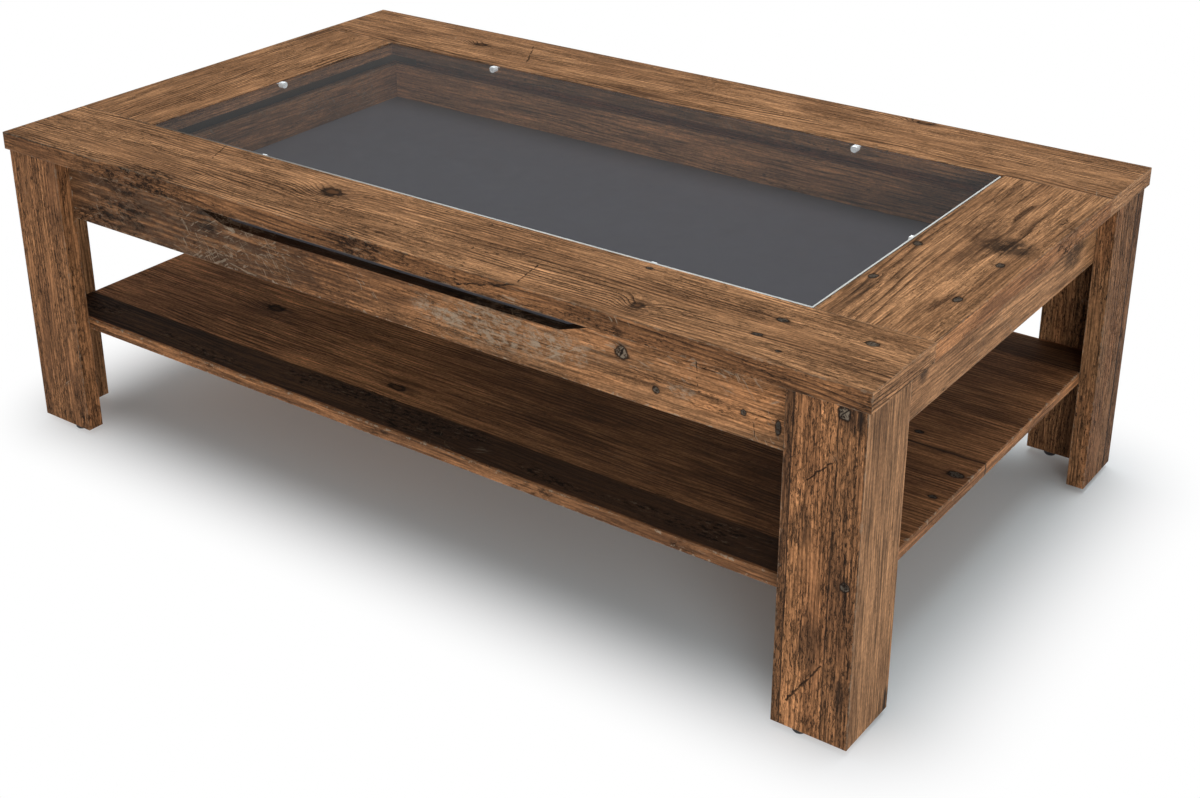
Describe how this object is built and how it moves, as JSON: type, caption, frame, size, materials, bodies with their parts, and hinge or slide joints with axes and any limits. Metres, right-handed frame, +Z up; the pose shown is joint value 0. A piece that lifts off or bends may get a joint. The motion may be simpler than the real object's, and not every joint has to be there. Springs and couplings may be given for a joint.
{
  "type": "display coffee table",
  "caption": "Rectangular coffee table in old-wood decor with L-shaped board legs, a lower shelf and a glass-topped display drawer that slides out on roller runners.",
  "frame": {"origin": "on the floor under the middle of the table", "axes": "+X along the table to the right as seen from the drawer side, +Y from the drawer side to the back, +Z up"},
  "size_m": [1.2, 0.7, 0.4],
  "materials": {
    "top_wood": "matte printed old-wood decor, dark brown planks with knots and scratches",
    "leg_wood": "matte printed old-wood decor",
    "apron_wood": "matte printed old-wood decor",
    "panel_board": "plain dark brown melamine face",
    "shelf_wood": "matte printed old-wood decor, lighter and darker planks",
    "drawer_front_wood": "matte printed old-wood decor with scraped patches",
    "drawer_wall_wood": "printed wood decor, brown",
    "drawer_floor_grey": "smooth anthracite coated fibreboard",
    "clear_glass": "clear float glass with polished bevelled edges",
    "clear_plastic": "clear moulded plastic",
    "black_plastic": "black moulded plastic",
    "white_nylon": "white nylon",
    "coated_steel": "brown epoxy-coated sheet steel",
    "zinc_steel": "zinc-plated steel",
    "dowel_wood": "plain beech"
  },
  "bodies": {
    "table": {"apron_corner_screws": "zinc_steel", "back_apron": "apron_wood", "back_left_leg_back_board": "leg_wood", "back_left_leg_side_board": "leg_wood", "back_right_leg_back_board": "leg_wood", "back_right_leg_side_board": "leg_wood", "cabinet_roller_axles": "zinc_steel", "cabinet_runner_screws": "zinc_steel", "floor_glides": "black_plastic", "front_left_leg_front_board": "leg_wood", "front_left_leg_side_board": "leg_wood", "front_right_leg_front_board": "leg_wood", "front_right_leg_side_board": "leg_wood", "glass_pane": "clear_glass", "glass_pins": "clear_plastic", "left_apron": "apron_wood", "left_cabinet_runner": "coated_steel", "left_runner_panel": "panel_board", "leg_screws": "zinc_steel", "leg_top_dowels": "dowel_wood", "panel_screws": "zinc_steel", "right_apron": "apron_wood", "right_cabinet_runner": "coated_steel", "right_runner_panel": "panel_board", "shelf": "shelf_wood", "shelf_bolts": "zinc_steel", "shelf_cams": "zinc_steel", "top_back_board": "top_wood", "top_fixing_bolts": "zinc_steel", "top_fixing_cams": "zinc_steel", "top_frame_dowels": "dowel_wood", "top_front_board": "top_wood", "top_left_board": "top_wood", "top_right_board": "top_wood"},
    "drawer": {"drawer_back": "drawer_wall_wood", "drawer_back_screws": "zinc_steel", "drawer_bottom": "drawer_floor_grey", "drawer_dowels": "dowel_wood", "drawer_front": "drawer_front_wood", "drawer_front_bolts": "zinc_steel", "drawer_front_cams": "zinc_steel", "drawer_left_side": "drawer_wall_wood", "drawer_right_side": "drawer_wall_wood", "drawer_roller_axles": "zinc_steel", "drawer_runner_screws": "zinc_steel", "left_drawer_runner": "coated_steel", "right_drawer_runner": "coated_steel"},
    "left_front_roller": {"left_cabinet_roller": "white_nylon"},
    "right_front_roller": {"right_cabinet_roller": "white_nylon"},
    "left_back_roller": {"left_drawer_roller": "white_nylon"},
    "right_back_roller": {"right_drawer_roller": "white_nylon"}
  },
  "joints": [
    {"name": "drawer_slide", "type": "slide", "parent": "table", "child": "drawer", "axis": [0, -1, 0], "range_m": [0, 0.35]},
    {"name": "left_front_roller_turn", "type": "hinge", "parent": "table", "child": "left_front_roller", "pos_m": [-0.49395, -0.295, 0.3273], "axis": [1, 0, 0], "continuous": true},
    {"name": "right_front_roller_turn", "type": "hinge", "parent": "table", "child": "right_front_roller", "pos_m": [0.49395, -0.295, 0.3273], "axis": [1, 0, 0], "continuous": true},
    {"name": "left_back_roller_turn", "type": "hinge", "parent": "drawer", "child": "left_back_roller", "pos_m": [-0.49275, 0.185, 0.3273], "axis": [1, 0, 0], "continuous": true},
    {"name": "right_back_roller_turn", "type": "hinge", "parent": "drawer", "child": "right_back_roller", "pos_m": [0.49275, 0.185, 0.3273], "axis": [1, 0, 0], "continuous": true}
  ],
  "couplings": [
    {"joint": "left_front_roller_turn", "follows": "drawer_slide", "rad_per_m": 111.11},
    {"joint": "right_front_roller_turn", "follows": "drawer_slide", "rad_per_m": 111.11},
    {"joint": "left_back_roller_turn", "follows": "drawer_slide", "rad_per_m": 111.11},
    {"joint": "right_back_roller_turn", "follows": "drawer_slide", "rad_per_m": 111.11}
  ]
}
